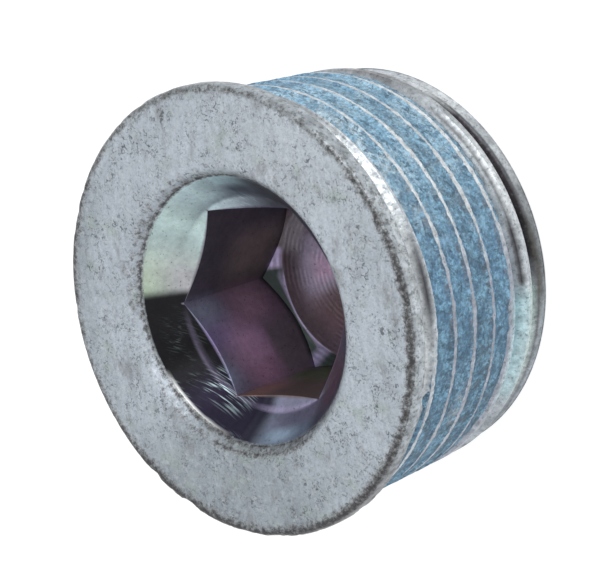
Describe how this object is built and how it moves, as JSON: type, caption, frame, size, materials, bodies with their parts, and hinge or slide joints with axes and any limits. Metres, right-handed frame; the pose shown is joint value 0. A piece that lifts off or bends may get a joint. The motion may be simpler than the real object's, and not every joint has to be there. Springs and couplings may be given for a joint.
{
  "type": "hex socket plug",
  "caption": "Short screw plug with a taper thread, a narrow collar, a deep hexagon socket and a blue band of dried sealant in the thread",
  "frame": {"origin": "centre of the flat face at the small end, where the screw axis meets it", "axes": "+Z along the screw axis from the small end to the socket face, +X through a corner of the socket hexagon, +Y through the middle of one of its flats"},
  "size_m": [0.0288, 0.0288, 0.0152],
  "materials": {
    "zinc_plated_steel": "satin",
    "dried_sealant": "matt, slightly grainy"
  },
  "bodies": {
    "root": {"plug_body": "zinc_plated_steel", "thread_sealant": "dried_sealant"}
  },
  "joints": []
}
